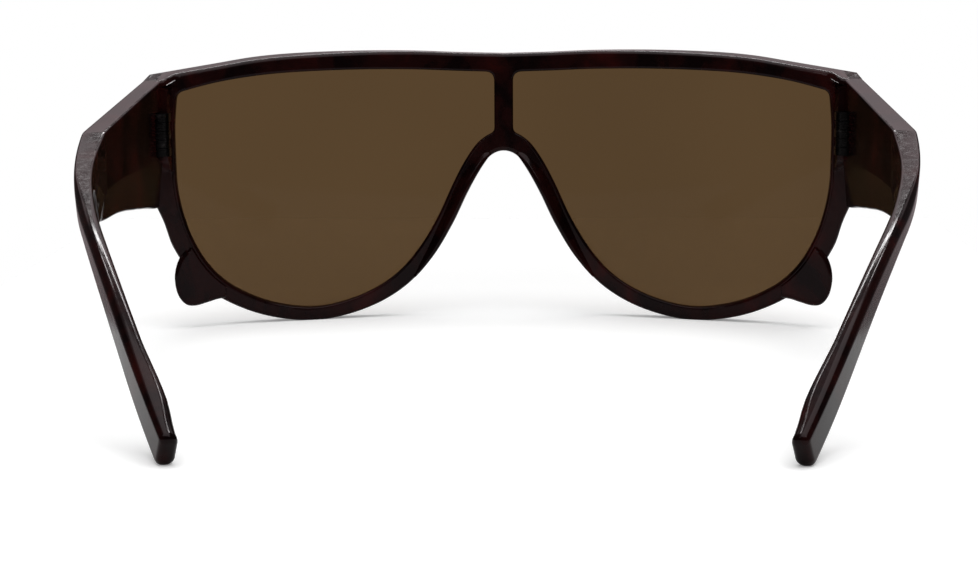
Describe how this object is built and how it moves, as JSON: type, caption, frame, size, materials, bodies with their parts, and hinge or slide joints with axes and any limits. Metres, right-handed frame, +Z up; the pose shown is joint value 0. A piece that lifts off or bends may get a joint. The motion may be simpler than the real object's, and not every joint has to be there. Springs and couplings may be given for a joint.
{
  "type": "shield sunglasses",
  "caption": "Shield sunglasses with a one-piece brown lens in a dark tortoise acetate front and deep temples that fold on barrel hinges.",
  "frame": {"origin": "on the table under the middle of the bounding box of the open glasses", "axes": "+Z up; the front looks along -Y and the temples run back along +Y; +X is the wearer's left"},
  "size_m": [0.1588, 0.1526, 0.0573],
  "materials": {
    "acetate": "polished dark havana tortoise acetate",
    "lens": "smooth brown tinted lens",
    "hinge_metal": "glossy black plated",
    "core_wire": "drawn wire"
  },
  "bodies": {
    "front": {"front_frame": "acetate", "shield_lens": "lens", "nose_pad_left": "acetate", "nose_pad_right": "acetate", "side_tab_left": "acetate", "side_tab_right": "acetate", "hinge_front_leaf_left": "hinge_metal", "hinge_front_leaf_right": "hinge_metal", "hinge_screw_left": "hinge_metal", "hinge_screw_right": "hinge_metal"},
    "left_temple": {"temple_left": "acetate", "temple_core_left": "core_wire", "hinge_temple_leaf_left": "hinge_metal"},
    "right_temple": {"temple_right": "acetate", "temple_core_right": "core_wire", "hinge_temple_leaf_right": "hinge_metal"}
  },
  "joints": [
    {"name": "left_temple_fold", "type": "hinge", "parent": "front", "child": "left_temple", "pos_m": [0.06986, -0.04805, 0.04125], "axis": [0, 0, 1], "range_deg": [0, 84]},
    {"name": "right_temple_fold", "type": "hinge", "parent": "front", "child": "right_temple", "pos_m": [-0.06986, -0.04805, 0.04125], "axis": [0, 0, -1], "range_deg": [0, 77]}
  ]
}
